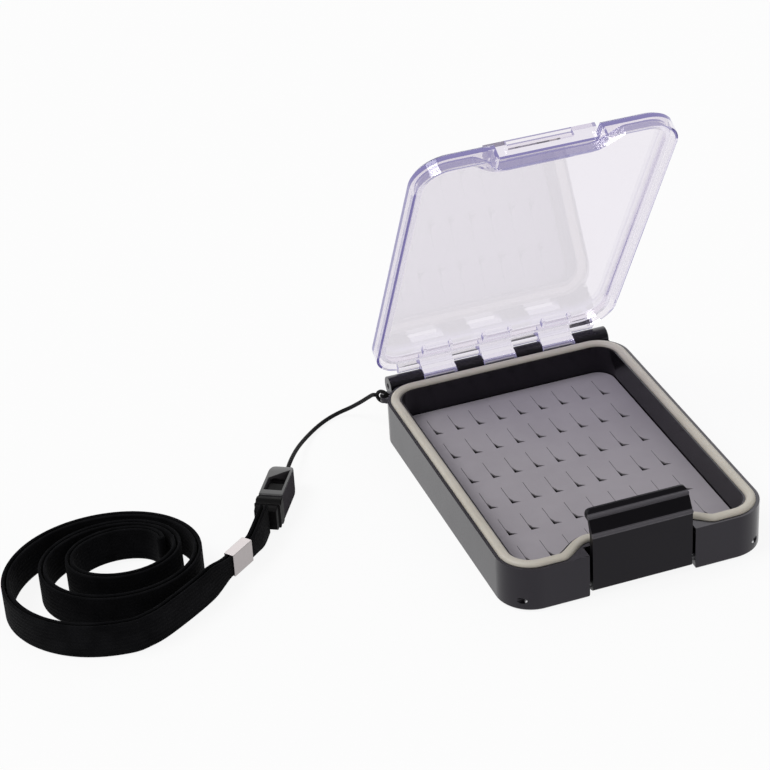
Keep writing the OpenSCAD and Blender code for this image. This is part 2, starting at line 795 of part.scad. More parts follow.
module ferrule() {
    a = tail_route[ferrule_from];
    b = tail_route[ferrule_from + 1];
    run = norm(b - a);
    room = 0.1;
    inner_t = strap_pair + strap_t + 2 * room;
    inner_w = strap_pinch + 2 * 0.05;
    color(steel)
        translate([a[0], a[1], a[2] - inner_w / 2 - ferrule_t])
            rotate([0, 0, atan2(b[1] - a[1], b[0] - a[0])])
                translate([(run - ferrule_l) / 2, 0, 0])
                    difference() {
                        translate([0, -inner_t / 2 - ferrule_t, 0])
                            cube([ferrule_l, inner_t + 2 * ferrule_t, inner_w + 2 * ferrule_t]);
                        translate([-1, -inner_t / 2, ferrule_t])
                            cube([ferrule_l + 2, inner_t, inner_w]);
                    }
}

base_shell();
seal_gasket();
foam_insert();
hinge_pin();
clear_lid();
latch();
latch_pin();
tether_loop();
tether_cord();
buckle_socket();
buckle_insert();
ferrule();
lanyard_strap();
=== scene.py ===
# %% [markdown]
# # A pocket fly box, dressed for its picture
#
# The real thing is a slim moulded case for fishing flies: a smoke-grey tray with a soft seal
# and a slit foam sheet, a clear lid on three knuckles, a black latch at the front, and a neck
# lanyard that comes off at a small release buckle. The solids come from the CAD frame. Each
# step below gives one of them the edges, weave or finish that the eye looks for.

# %% Start: the frame and the units
import json
import math

import bmesh
import bpy
from mathutils import Matrix, Vector

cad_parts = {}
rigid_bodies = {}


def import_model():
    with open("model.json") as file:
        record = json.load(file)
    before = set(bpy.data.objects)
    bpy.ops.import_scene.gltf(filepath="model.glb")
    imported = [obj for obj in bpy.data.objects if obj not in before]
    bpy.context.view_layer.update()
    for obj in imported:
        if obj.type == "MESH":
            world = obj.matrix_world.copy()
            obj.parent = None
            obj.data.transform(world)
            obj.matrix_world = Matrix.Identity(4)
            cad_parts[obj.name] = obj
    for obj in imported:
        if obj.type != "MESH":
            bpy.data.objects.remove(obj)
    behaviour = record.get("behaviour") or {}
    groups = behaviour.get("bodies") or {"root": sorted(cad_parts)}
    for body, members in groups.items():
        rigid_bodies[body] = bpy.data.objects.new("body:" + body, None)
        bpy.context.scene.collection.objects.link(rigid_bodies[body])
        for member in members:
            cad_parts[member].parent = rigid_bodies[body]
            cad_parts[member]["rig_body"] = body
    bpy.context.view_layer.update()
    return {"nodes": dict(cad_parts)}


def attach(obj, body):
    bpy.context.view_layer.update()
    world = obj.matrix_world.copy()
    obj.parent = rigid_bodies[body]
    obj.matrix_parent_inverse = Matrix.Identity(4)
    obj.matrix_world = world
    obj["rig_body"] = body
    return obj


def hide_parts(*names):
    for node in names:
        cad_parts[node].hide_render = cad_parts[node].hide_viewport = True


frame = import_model()
MM = 0.001
scene = bpy.context.scene
print("CAD nodes:", sorted(frame["nodes"]))

# %% [markdown]
# ## The camera
#
# A camera is a place, a direction and a focal length. The straight edges of the tray and the
# lid fixed all three: the eye stands left of the front, about 31 degrees up, and a long lens
# keeps the tray's sides nearly parallel. It is set first, because the cords are checked
# against what it sees.

# %% Camera
AZIMUTH, ELEVATION, ROLL = (math.radians(a) for a in (-17.7818, 31.3639, -3.7095))
# Where the eye stands from the middle of the tray's front, along the picture's own axes
EYE_RIGHT, EYE_UP, EYE_BACK = -0.0685679, 0.0527656, 0.6259962
LENS_MM, FILM_MM = 110.16, 36
back = Vector((math.sin(AZIMUTH) * math.cos(ELEVATION),
               -math.cos(AZIMUTH) * math.cos(ELEVATION), math.sin(ELEVATION)))
level = (-back).cross(Vector((0, 0, 1))).normalized()
upright = level.cross(-back)
right = math.cos(ROLL) * level + math.sin(ROLL) * upright
up = math.cos(ROLL) * upright - math.sin(ROLL) * level
FRONT_Y = -50.8 * MM
eye = EYE_RIGHT * right + EYE_UP * up + EYE_BACK * back + Vector((0, FRONT_Y, 0))

camera_data = bpy.data.cameras.new("view_camera")
camera_data.lens, camera_data.sensor_width = LENS_MM, FILM_MM
camera_data.clip_start, camera_data.clip_end = 0.01, 50
camera = bpy.data.objects.new("view_camera", camera_data)
turn = Matrix((right, up, back)).transposed().to_4x4()
camera.matrix_world = Matrix.Translation(eye) @ turn
scene.collection.objects.link(camera)
scene.camera = camera
print("camera at", [round(v, 4) for v in eye])

# %% [markdown]
# ## Small helpers for materials
#
# Colours are written as sRGB hex, the way a paint program shows them, and turned to the
# linear values that the renderer adds up. One function makes a node and links it, and the
# others name what a few nodes do together.

# %% Material helpers


def linear(hex_colour):
    """An sRGB hex colour as linear red, green, blue and alpha."""
    parts = [int(hex_colour[i:i + 2], 16) / 255 for i in (1, 3, 5)]
    return tuple(p / 12.92 if p <= 0.04045 else ((p + 0.055) / 1.055) ** 2.4
                 for p in parts) + (1.0,)


def put(tree, kind, links=(), **settings):
    """Adds one node. Settings name its sockets or its properties, and links its input wires."""
    node = tree.nodes.new(kind)
    for name, value in settings.items():
        if hasattr(node, name):
            setattr(node, name, value)
        else:
            node.inputs[name.replace("_", " ")].default_value = value
    for socket, source in dict(links).items():
        tree.links.new(source, node.inputs[socket])
    return node


def maths(tree, operation, a, b=None):
    """One sum; a and b are wires or numbers."""
    node = put(tree, "ShaderNodeMath", operation=operation)
    for socket, value in zip(node.inputs, (a, b)):
        if isinstance(value, (int, float)):
            socket.default_value = value
        elif value is not None:
            tree.links.new(value, socket)
    return node.outputs[0]


def mapped(tree, value, start, end, low=0.0, high=1.0, curve="LINEAR"):
    """A value that goes from low at start to high at end, and no further."""
    return put(tree, "ShaderNodeMapRange", {"Value": value}, interpolation_type=curve,
               From_Min=start, From_Max=end, To_Min=low, To_Max=high).outputs["Result"]


def axes(tree, coordinate="Object"):
    """X, Y and Z of a texture coordinate, as wires."""
    vector = put(tree, "ShaderNodeTexCoord").outputs[coordinate]
    return put(tree, "ShaderNodeSeparateXYZ", {"Vector": vector}).outputs


# Where the mix node has its share, its two colours and its result
MIX_SHARE, MIX_FIRST, MIX_SECOND, MIX_RESULT = 0, 6, 7, 2


def between(tree, share, first, second):
    """The first colour where share is 0, the second where it is 1; each is a hex or a wire."""
    mix = put(tree, "ShaderNodeMix", {MIX_SHARE: share}, data_type="RGBA")
    for socket, colour in ((MIX_FIRST, first), (MIX_SECOND, second)):
        if isinstance(colour, str):
            mix.inputs[socket].default_value = linear(colour)
        else:
            tree.links.new(colour, mix.inputs[socket])
    return mix.outputs[MIX_RESULT]


def mixed(tree, share, first, second):
    """The first shader where share is 0, and the second where it is 1."""
    return put(tree, "ShaderNodeMixShader", {0: share, 1: first, 2: second}).outputs[0]


def surface(name, colour, roughness, **sockets):
    """A new material with its shader: the material, its tree and the shader."""
    material = bpy.data.materials.new(name)
    material.use_nodes = True
    shader = material.node_tree.nodes["Principled BSDF"]
    shader.inputs["Base Color"].default_value = linear(colour)
    shader.inputs["Roughness"].default_value = roughness
    for socket, value in sockets.items():
        shader.inputs[socket.replace("_", " ")].default_value = value
    return material, material.node_tree, shader


def grain(tree, size_mm, detail=2.0, stretch=(1, 1, 1)):
    """Noise with spots of about size_mm; a stretch below 1 draws them out along that axis."""
    source = put(tree, "ShaderNodeTexCoord").outputs["Object"]
    mapping = put(tree, "ShaderNodeMapping", {"Vector": source}, Scale=stretch)
    return put(tree, "ShaderNodeTexNoise", {"Vector": mapping.outputs["Vector"]},
               Scale=1 / (size_mm * MM), Detail=detail)


def vary(tree, shader, noise, dark, light, low=0.35, high=0.65):
    """Lets the base colour drift between two near shades with the noise; gives its wire."""
    ramp = put(tree, "ShaderNodeValToRGB", {"Fac": noise.outputs["Fac"]})
    for stop, position, colour in zip(ramp.color_ramp.elements, (low, high), (dark, light)):
        stop.position, stop.color = position, linear(colour)
    tree.links.new(ramp.outputs["Color"], shader.inputs["Base Color"])
    return ramp.outputs["Color"]


def roughen(tree, shader, noise, smooth, rough):
    """Roughness that drifts from smooth to rough, as handled or moulded surfaces do."""
    spread = mapped(tree, noise.outputs["Fac"], 0.0, 1.0, smooth, rough)
    tree.links.new(spread, shader.inputs["Roughness"])


def bump(tree, shader, height, depth_mm, strength=1.0):
    """Tilts the surface by a height from 0 to 1, depth_mm tall."""
    relief = put(tree, "ShaderNodeBump", {"Height": height}, Strength=strength,
                 Distance=depth_mm * MM)
    tree.links.new(relief.outputs["Normal"], shader.inputs["Normal"])


print("helpers ready; mid grey #808080 is", [round(c, 3) for c in linear("#808080")])

# %% [markdown]
# ## Woven and braided fabric
#
# The neck strap is flat polyester webbing, woven about 10 mm wide with a rounded edge. The
# weave could be drawn by images, but two crossing waves in the strap's own length and width
# do it with nothing to load, and follow every bend. The thin tether is braided: two sets of
# strands wind round it, one each way.

# %% Webbing and braid


def strip_coordinates(tree):
    """Metres along a swept piece, and across its thickness and height, as wires."""
    along = put(tree, "ShaderNodeAttribute", attribute_name="along").outputs["Fac"]
    section = put(tree, "ShaderNodeAttribute", attribute_name="section").outputs["Vector"]
    split = put(tree, "ShaderNodeSeparateXYZ", {"Vector": section})
    return along, split.outputs["X"], split.outputs["Y"]


# Real picks are about 0.5 mm apart; 1.0 mm is as fine as the picture can show
PICK_MM, RIB_MM = 1.0, 1.25
# The cord's strands come round every STRAND_MM, and half of STRANDS goes each way
STRAND_MM, STRANDS = 2.2, 4

# Polyester webbing, woven and dyed black: dull, with a soft sheen on its crowns
webbing, tree, shader = surface("woven_polyester_webbing", "#0d0d0f", 0.9,
                                Sheen_Weight=0.02, Sheen_Roughness=0.4,
                                Specular_IOR_Level=0.05)
along, _, across = strip_coordinates(tree)
weft = maths(tree, "SINE", maths(tree, "MULTIPLY", along, math.tau / (PICK_MM * MM)))
warp = maths(tree, "SINE", maths(tree, "MULTIPLY", across, math.tau / (RIB_MM * MM)))
# The ribs run along the strap, and the picks cross them
crossings = maths(tree, "MULTIPLY", maths(tree, "MULTIPLY", weft, warp), 0.2)
cloth = maths(tree, "ADD", maths(tree, "ADD", crossings, maths(tree, "MULTIPLY", warp, 0.25)), 0.5)
fibre = grain(tree, 0.35, 3.0)
height = maths(tree, "ADD", cloth, maths(tree, "MULTIPLY", fibre.outputs["Fac"], 0.5))
bump(tree, shader, height, 0.16, 0.8)
vary(tree, shader, grain(tree, 6.0, 3.0), "#09090b", "#121214")

# Braided polyester cord, black: round strands that catch thin lights
braid, tree, shader = surface("braided_polyester_cord", "#0e0d0f", 0.75,
                              Sheen_Weight=0.05, Sheen_Roughness=0.4, Specular_IOR_Level=0.2)
along, across_x, across_y = strip_coordinates(tree)
angle = maths(tree, "ARCTAN2", across_y, across_x)
run = maths(tree, "MULTIPLY", along, math.tau / (STRAND_MM * MM))
round_it = maths(tree, "MULTIPLY", angle, STRANDS / 2)
left_hand = maths(tree, "SINE", maths(tree, "ADD", run, round_it))
right_hand = maths(tree, "SINE", maths(tree, "SUBTRACT", run, round_it))
strands = maths(tree, "MULTIPLY", maths(tree, "MULTIPLY", left_hand, right_hand), 0.5)
bump(tree, shader, strands, 0.2)
print("fabrics:", webbing.name, braid.name)

# %% [markdown]
# ## Sweeping a section along a path
#
# The tether, the strap and the seal all are one section carried along a line. Geometry Nodes
# do this once for all three: a rounded rectangle is the section, the curve is the path, and
# the tree keeps how far along and where in the section each point is, for the materials.

# %% The sweep tree
FILLET_POINTS = 4
SOFT_BELOW = math.radians(50)
sweep = bpy.data.node_groups.new("rounded_sweep", "GeometryNodeTree")
for name, kind in (("Path", "NodeSocketGeometry"), ("Thickness", "NodeSocketFloat"),
                   ("Height", "NodeSocketFloat"), ("Rounding", "NodeSocketFloat"),
                   ("Finish", "NodeSocketMaterial")):
    sweep.interface.new_socket(name, in_out="INPUT", socket_type=kind)
sweep.interface.new_socket("Mesh", in_out="OUTPUT", socket_type="NodeSocketGeometry")
given = put(sweep, "NodeGroupInput").outputs
box_section = put(sweep, "GeometryNodeCurvePrimitiveQuadrilateral",
                  {"Width": given["Thickness"], "Height": given["Height"]})
soft_section = put(sweep, "GeometryNodeFilletCurve",
                   {"Curve": box_section.outputs[0], "Radius": given["Rounding"]},
                   mode="POLY", Count=FILLET_POINTS)


def marked(geometry, name, kind, value):
    """Stores the value on every point of the geometry, as an attribute for the materials."""
    keep = put(sweep, "GeometryNodeStoreNamedAttribute", {"Geometry": geometry},
               data_type=kind, domain="POINT", Name=name)
    sweep.links.new(value, keep.inputs["Value"])
    return keep.outputs[0]


marked_section = marked(soft_section.outputs[0], "section", "FLOAT_VECTOR",
                        put(sweep, "GeometryNodeInputPosition").outputs[0])
marked_path = marked(given["Path"], "along", "FLOAT",
                     put(sweep, "GeometryNodeSplineParameter").outputs["Length"])
level_path = put(sweep, "GeometryNodeSetCurveNormal", {"Curve": marked_path}, mode="Z_UP")
swept = put(sweep, "GeometryNodeCurveToMesh",
            {"Curve": level_path.outputs[0], "Profile Curve": marked_section}, Fill_Caps=True)
real = put(sweep, "GeometryNodeRealizeInstances", {"Geometry": swept.outputs[0]})
dressed = put(sweep, "GeometryNodeSetMaterial",
              {"Geometry": real.outputs[0], "Material": given["Finish"]})
put(sweep, "NodeGroupOutput", {"Mesh": dressed.outputs[0]})


def path_curve(name, points, closed=False):
    """A curve object of one straight-sided spline through the points, in metres."""
    data = bpy.data.curves.new(name, "CURVE")
    data.dimensions = "3D"
    spline = data.splines.new("POLY")
    spline.points.add(len(points) - 1)
    for slot, p in zip(spline.points, points):
        slot.co = (*p, 1)
    spline.use_cyclic_u = closed
    thing = bpy.data.objects.new(name, data)
    scene.collection.objects.link(thing)
    return thing


def new_piece(name, mesh):
    """An object at the origin that holds the mesh."""
    thing = bpy.data.objects.new(name, mesh)
    scene.collection.objects.link(thing)
    return thing


def swept_piece(name, points, thickness_mm, height_mm, rounding_mm, finish, closed=False):
    """Sweeps the rounded section along the points and gives a plain mesh object."""
    guide = path_curve(name + "_guide", points, closed)
    modifier = guide.modifiers.new("sweep", "NODES")
    modifier.node_group = sweep
    values = {"Thickness": thickness_mm * MM, "Height": height_mm * MM,
              "Rounding": rounding_mm * MM, "Finish": finish}
    for item in sweep.interface.items_tree:
        if item.in_out == "INPUT" and item.name in values:
            modifier[item.identifier] = values[item.name]
    bpy.context.view_layer.update()
    evaluated = guide.evaluated_get(bpy.context.evaluated_depsgraph_get())
    mesh = bpy.data.meshes.new_from_object(evaluated)
    mesh.name = name
    guide.modifiers.remove(modifier)
    bpy.data.objects.remove(guide)
    for face in mesh.polygons:
        face.use_smooth = True
    mesh.set_sharp_from_angle(angle=SOFT_BELOW)
    return new_piece(name, mesh)


def smooth_through(points, step):
    """Points every step along a smooth line through the given ones (Catmull-Rom)."""
    p = [Vector(q) for q in points]
    p = [2 * p[0] - p[1], *p, 2 * p[-1] - p[-2]]
    out = []
    for a, b, c, d in zip(p, p[1:], p[2:], p[3:]):
        parts = max(1, round((c - b).length / step))
        for k in range(parts):
            t = k / parts
            out.append(0.5 * (2 * b + (c - a) * t + (2 * a - 5 * b + 4 * c - d) * t * t
                              + (3 * b - a - 3 * c + d) * t ** 3))
    return [*out, p[-2]]


def run_length(points):
    """Length of a line through the points."""
    return sum((b - a).length for a, b in zip(points, points[1:]))


print("sweep tree has", len(sweep.nodes), "nodes")

# %% [markdown]
# ## The tether
#
# A thin braided cord is looped through the lug at the rear left corner and drops to the floor
# on its way to the buckle. Its route is the CAD part's, smoothed, so that collision and looks
# agree.

# %% Tether loop and cord
CORD_D, CORD_ROUND, CORD_STEP = 1.2, 0.58, 0.8
# The loop is pulled tight, so its cord is a little thinner
LOOP_D, LOOP_ROUND = 1.08, 0.52
CORNER_R, LUG_OUT = 10, 1.2
CORNER_X, CORNER_Y, LUG_Z = -28, 40.8, 11.5
EYE_R, LUG_R, LOOP_SLACK = 1.0, 2.1, 0.1
loop_r = EYE_R + CORD_D / 2 + LOOP_SLACK
loop_mid = (EYE_R + LUG_R) / 2
outward = Vector((-math.sqrt(0.5), math.sqrt(0.5), 0))
loop_centre = Vector((CORNER_X, CORNER_Y, LUG_Z)) + (CORNER_R + LUG_OUT + loop_mid) * outward
LOOP_STEPS = 40
upward = Vector((0, 0, 1))
loop_points = [(loop_centre + loop_r * (math.cos(a) * outward + math.sin(a) * upward)) * MM
               for a in (math.tau * k / LOOP_STEPS for k in range(LOOP_STEPS))]
tether_loop = swept_piece("tether_loop_cord", loop_points, LOOP_D, LOOP_D, LOOP_ROUND, braid, closed=True)

tether_route = [(-38.5, 51.2, 11.6), (-39.1, 52.6, 11.0), (-39.9, 54.9, 9.0), (-41.4, 58.0, 6.0),
                (-43.8, 61.0, 3.0), (-46.8, 62.4, 1.3), (-50.4, 61.6, 0.7), (-54.2, 59.2, 0.7),
                (-58.4, 55.4, 1.0), (-62.8, 50.0, 2.0), (-66.3, 44.6, 3.2), (-69.2, 39.5, 4.1),
                (-71.3, 35.8, 4.2), (-72.9, 33.2, 4.1)]
tether_line = smooth_through([Vector(p) * MM for p in tether_route], CORD_STEP * MM)
tether = swept_piece("tether_cord_braided", tether_line, CORD_D, CORD_D, CORD_ROUND, braid)
print("tether runs", round(run_length(tether_line) / MM, 1), "mm")

# %% [markdown]
# ## The neck strap
#
# The strap is one length of webbing folded double, with both ends in the ferrule, so its two
# runs lie side by side all the way and turn back in a fold in the middle of the coil. It
# stands on its edge. A shrinking oval whose middle creeps back gives the coil, and a slow
# wander of a fraction of a millimetre keeps it from looking machined.

# %% Neck strap
STRAP_W, STRAP_T, STRAP_ROUND, STRAP_STEP = 10, 0.9, 0.5, 1.6
STRAP_PAIR, STRAP_TURNS = 1.4, 2.75
tail_route = [(-85.2, 12.85), (-86.6, 10.4), (-88.5, 7.3), (-90.9, 4.1), (-93.6, 1.1),
              (-100.6, -4.3), (-105.0, -8.0), (-110.5, -12.5), (-117.0, -17.0),
              (-124.0, -21.3), (-128.2, -23.0)]
COIL_MID, COIL_CREEP = (-132.5, 2.5), (2.2, 2.7)
COIL_SIZE, COIL_SHRINK = (29.8, 26.4), (7.1, 7.15)
# The inner turns lie closer together than the outer ones
COIL_PULL = 0.16
TURN_STEPS = 24
STRAP_Z = 5.05


def coil_point(t):
    """A place in the coil, t turns in. It starts at the front and turns clockwise."""
    a = math.radians(270 - 360 * t)
    settled = (math.sin(math.radians(90 * (t - 0.25)))
               + math.sin(math.radians(22.5)) * max(0, 1 - 2 * t))
    u = t + COIL_PULL * settled
    return tuple(COIL_MID[i] + COIL_CREEP[i] * u + (COIL_SIZE[i] - COIL_SHRINK[i] * u) * turn_part
                 for i, turn_part in enumerate((math.cos(a), math.sin(a))))


coil = [coil_point(k / TURN_STEPS) for k in range(int(STRAP_TURNS * TURN_STEPS) + 1)]
strap_middle = smooth_through([Vector((*p, STRAP_Z)) * MM for p in (*tail_route, *coil)],
                              STRAP_STEP * MM)


def sideways(points, k):
    """Level direction to the left of the line at point k."""
    step = points[min(k + 1, len(points) - 1)] - points[max(k - 1, 0)]
    return Vector((-step.y, step.x, 0)).normalized()


# The wander's two waves: size in millimetres, turn per point in radians, and start
WANDER = ((0.06, 0.11, 1), (0.04, 0.37, 2))
# It grows to its full size over this many points, because the ferrule holds the start
WANDER_FROM = 30
FOLD_STEPS = 8


def strap_run(side):
    """One run of the doubled strap, a little loose from the other."""
    out = []
    for k, p in enumerate(strap_middle):
        wander = sum(size * math.sin(k * pace + start * side) for size, pace, start in WANDER)
        settle = min(1, k / WANDER_FROM)
        out.append(p + side * (STRAP_PAIR / 2 + settle * wander) * MM * sideways(strap_middle, k))
    return out


fold_side = sideways(strap_middle, len(strap_middle) - 1)
fold_ahead = (strap_middle[-1] - strap_middle[-2]).normalized()
fold = [strap_middle[-1] + STRAP_PAIR / 2 * MM * (math.cos(a) * fold_side + math.sin(a) * fold_ahead)
        for a in (math.pi * k / FOLD_STEPS for k in range(1, FOLD_STEPS))]
strap_line = [*strap_run(1), *fold, *reversed(strap_run(-1))]
strap = swept_piece("neck_strap_webbing", strap_line, STRAP_T, STRAP_W, STRAP_ROUND, webbing)

# The ferrule squeezes the webbing narrower, CRIMP_AT millimetres from its ends
CRIMP_AT, CRIMP_HALF, CRIMP_EASE, CRIMP_W = 18.9, 4.4, 9.6, 6.2
webbing_length = run_length(strap_line)
for vertex, place in zip(strap.data.vertices, strap.data.attributes["along"].data):
    from_end = min(place.value, webbing_length - place.value) / MM
    t = min(1, max(0, 1 - (abs(from_end - CRIMP_AT) - CRIMP_HALF) / CRIMP_EASE))
    narrower = 1 - t * t * (3 - 2 * t) * (1 - CRIMP_W / STRAP_W)
    vertex.co.z = STRAP_Z * MM + (vertex.co.z - STRAP_Z * MM) * narrower
print("strap lies", round(run_length(strap_middle) / MM), "mm folded,",
      round(webbing_length / MM), "mm of webbing")

# %% [markdown]
# ## The seal
#
# The seal is a soft rounded cord of silicone pressed into a groove. Its line is the box's outline,
# drawn in to the middle of the groove, with a smooth S on each side of the step behind the
# latch. The outline is worked out from the box's own sizes, and the sweep tree rounds it.

# %% Seal line
BODY_W, BODY_D, BOX_R, BASE_H = 76, 101.6, 10, 13.4
GROOVE_MID, SEAL_W, SEAL_H, SEAL_ROUND, SEAL_SUNK = 2.4, 2.76, 2.2, 1.05, 1.2
JOG_D, JOG_WIDE, JOG_NARROW = 5.2, 22.0, 12.5
ARC_STEPS, JOG_STEPS = 12, 20


def corner_arc(side, end):
    """Points round one corner of the box, drawn in to the groove's middle, in millimetres."""
    r = BOX_R - GROOVE_MID
    start = {(1, -1): 270, (1, 1): 0, (-1, 1): 90, (-1, -1): 180}[side, end]
    turns = [math.radians(start + 90 * k / ARC_STEPS) for k in range(ARC_STEPS + 1)]
    return [(side * (BODY_W / 2 - BOX_R) + r * math.cos(a),
             end * (BODY_D / 2 - BOX_R) + r * math.sin(a)) for a in turns]


def jog_point(t):
    """A point on the left S of the step, t from 0 to 1, drawn in likewise."""
    run = JOG_WIDE - JOG_NARROW
    slope = JOG_D * (6 * t - 6 * t * t) / run
    square = math.sqrt(1 + slope * slope)
    return (-JOG_WIDE + t * run - GROOVE_MID * slope / square,
            -BODY_D / 2 + JOG_D * (3 * t * t - 2 * t ** 3) + GROOVE_MID / square)


left_jog = [jog_point(k / JOG_STEPS) for k in range(JOG_STEPS + 1)]
right_jog = [(-x, y) for x, y in reversed(left_jog)]
seal_line = [*left_jog, *right_jog, *corner_arc(1, -1), *corner_arc(1, 1),
             *corner_arc(-1, 1), *corner_arc(-1, -1)]
seal_z = BASE_H - SEAL_SUNK + SEAL_H / 2
seal_points = [Vector((x, y, seal_z)) * MM for x, y in seal_line]
print("seal is", round(run_length(seal_points) / MM), "mm round")

# %% [markdown]
# ## Stage and light
#
# The picture has a white ground with hardly a shadow. A white floor does that: what the camera
# sees of it is mostly plain white, and a part of it still takes the object's shadow. The
# light on the object is an even sky and one broad lamp from the upper left. Polished
# plastic mirrors its room, so mirrored rays see a studio: white all round and over the floor,
# and dimmer above the front, where the camera stands.

# %% Floor, sky and lamp
FLOOR_REACH, FLOOR_DROP = 6.0, 0.0002
# Most of what is seen of the floor is plain white, and the rest is lit paper with its shadow
PLAIN_SHARE = 0.9
floor_mesh = bpy.data.meshes.new("studio_floor")
corners = [(FLOOR_REACH * x, FLOOR_REACH * y, 0) for x, y in ((-1, -1), (1, -1), (1, 1), (-1, 1))]
floor_mesh.from_pydata(corners, [], [(0, 1, 2, 3)])
floor = new_piece("studio_floor", floor_mesh)
floor.location.z = -FLOOR_DROP
paper, tree, shader = surface("matte_paper_backdrop", "#f4f4f4", 0.9, Specular_IOR_Level=0.0)
path = put(tree, "ShaderNodeLightPath").outputs
seen = maths(tree, "MAXIMUM", path["Is Camera Ray"],
             maths(tree, "MAXIMUM", path["Is Glossy Ray"], path["Is Transmission Ray"]))
plain_white = put(tree, "ShaderNodeEmission", Strength=1.0)
ground = mixed(tree, maths(tree, "MULTIPLY", seen, PLAIN_SHARE), shader.outputs[0],
               plain_white.outputs[0])
tree.links.new(ground, tree.nodes["Material Output"].inputs["Surface"])
floor.data.materials.append(paper)

SKY_FILL = 0.62
# For mirrored rays a direction's Y runs from -1 in front to 1 behind. The room goes from dim
# to white between the two places in DIM_TOWARDS
DIM_TOWARDS, ROOM_WHITE = (-0.75, 0.0), (0.3, 1.0)
# A wide softbox stands high behind and draws a line of light along every rounded top edge
SOFTBOX, SOFTBOX_EDGE, SOFTBOX_GLOW = (0.26, 0.78, 0.57), (0.84, 0.96), 1.4
world = bpy.data.worlds.new("studio_sky")
scene.world = world
world.use_nodes = True
tree = world.node_tree
tree.nodes.clear()
path = put(tree, "ShaderNodeLightPath").outputs
straight = maths(tree, "MAXIMUM", path["Is Camera Ray"], path["Is Transmission Ray"])
fill = put(tree, "ShaderNodeBackground", Strength=SKY_FILL)
white = put(tree, "ShaderNodeBackground", Strength=1.0)
direction = axes(tree, "Generated")
walls = mapped(tree, direction["Y"], *DIM_TOWARDS, *ROOM_WHITE, "SMOOTHSTEP")
towards = 0.0
for axis, share in zip("XYZ", SOFTBOX):
    towards = maths(tree, "ADD", towards, maths(tree, "MULTIPLY", direction[axis], share))
softbox = mapped(tree, towards, *SOFTBOX_EDGE, 0.0, SOFTBOX_GLOW, "SMOOTHSTEP")
mirrored = put(tree, "ShaderNodeBackground", {"Strength": maths(tree, "ADD", walls, softbox)})
lit = mixed(tree, path["Is Glossy Ray"], fill.outputs[0], mirrored.outputs[0])
sky = mixed(tree, straight, lit, white.outputs[0])
put(tree, "ShaderNodeOutputWorld", {"Surface": sky})

LAMP_POWER, LAMP_BREADTH, LAMP_FROM = 1.3, math.radians(30), Vector((-0.65, 0.1, 1.0))
lamp_data = bpy.data.lights.new("soft_key", "SUN")
lamp_data.energy, lamp_data.angle = LAMP_POWER, LAMP_BREADTH
lamp = bpy.data.objects.new("soft_key", lamp_data)
lamp.rotation_mode = "QUATERNION"
lamp.rotation_quaternion = LAMP_FROM.to_track_quat("Z", "Y")
lamp.location = LAMP_FROM * 0.5
scene.collection.objects.link(lamp)
scene.view_settings.view_transform = "Standard"
print("stage set")

# %% [markdown]
# ## Moulded plastics
#
# The tray is smoke-tinted plastic, polished on the outside; the latch and buckle are nearly
# black and a little duller. Polished mouldings are never quite flat, so a faint slow ripple
# and a drifting roughness break up their reflections.

# %% Tray, latch and buckle plastics
# Smoke-tinted ABS, moulded in a polished tool: deep grey with clean, slightly soft reflections
smoke, tree, shader = surface("smoke_tinted_moulded_abs", "#110f12", 0.2, IOR=1.5,
                              Specular_IOR_Level=0.42, Specular_Tint=linear("#ece6f6"))
roughen(tree, shader, grain(tree, 9.0, 2.0), 0.16, 0.26)
vary(tree, shader, grain(tree, 22.0, 2.0), "#100e11", "#151316")
bump(tree, shader, grain(tree, 5.0, 1.0).outputs["Fac"], 0.02, 0.25)

# Black ABS with a fine satin tool finish
black_abs, tree, shader = surface("satin_black_moulded_abs", "#0b0a0c", 0.3, IOR=1.5,
                                  Specular_IOR_Level=0.22, Specular_Tint=linear("#ece6f6"))
roughen(tree, shader, grain(tree, 6.0, 2.0), 0.28, 0.4)
bump(tree, shader, grain(tree, 0.5, 2.0).outputs["Fac"], 0.012, 0.4)
# The two ridges of the latch are painted paler, a painted highlight along each. Each is a line across, at
# its Y and Z
RIDGES = ((0.1, 19.2), (2.85, 23.6))
RIDGE_R = 0.75
place = axes(tree)
ridge_highlight = 0.0
for ridge_y, ridge_z in RIDGES:
    behind = maths(tree, "SUBTRACT", place["Y"], FRONT_Y + ridge_y * MM)
    above = maths(tree, "SUBTRACT", place["Z"], ridge_z * MM)
    away = maths(tree, "SQRT", maths(tree, "ADD", maths(tree, "POWER", behind, 2.0),
                                     maths(tree, "POWER", above, 2.0)))
    ridge_highlight = maths(tree, "MAXIMUM", ridge_highlight, maths(tree, "LESS_THAN", away, RIDGE_R * MM))
# Painted highlight: the base colour turns paler within RIDGE_R of each ridge
tree.links.new(between(tree, ridge_highlight, "#0b0a0c", "#535155"), shader.inputs["Base Color"])

# Acetal, the slippery plastic that release buckles are moulded from: black, glossy on top,
# and matte on the sides, where the mould was textured for grip
acetal, tree, shader = surface("black_moulded_acetal", "#0b0a0c", 0.28, IOR=1.48)
SIDE_BELOW, TOP_ABOVE, TOP_GLOSS = 0.15, 0.5, 0.6
top = mapped(tree, axes(tree, "Normal")["Z"], SIDE_BELOW, TOP_ABOVE)
tree.links.new(maths(tree, "MULTIPLY", top, TOP_GLOSS), shader.inputs["Specular IOR Level"])
# Painted light and shade: the base colour follows facing, paler grey on the sides and darker on top
tree.links.new(between(tree, top, "#484549", "#141215"), shader.inputs["Base Color"])
bump(tree, shader, grain(tree, 1.6, 2.0).outputs["Fac"], 0.012, 0.3)

# The same plastic where handling has dulled it, for the part that is pinched
dull_acetal, tree, shader = surface("handled_black_acetal", "#0b0a0b", 0.5, IOR=1.48,
                                    Specular_IOR_Level=0.06)
roughen(tree, shader, grain(tree, 2.0, 2.0), 0.42, 0.58)
print("plastics:", smoke.name, black_abs.name, acetal.name, dull_acetal.name)
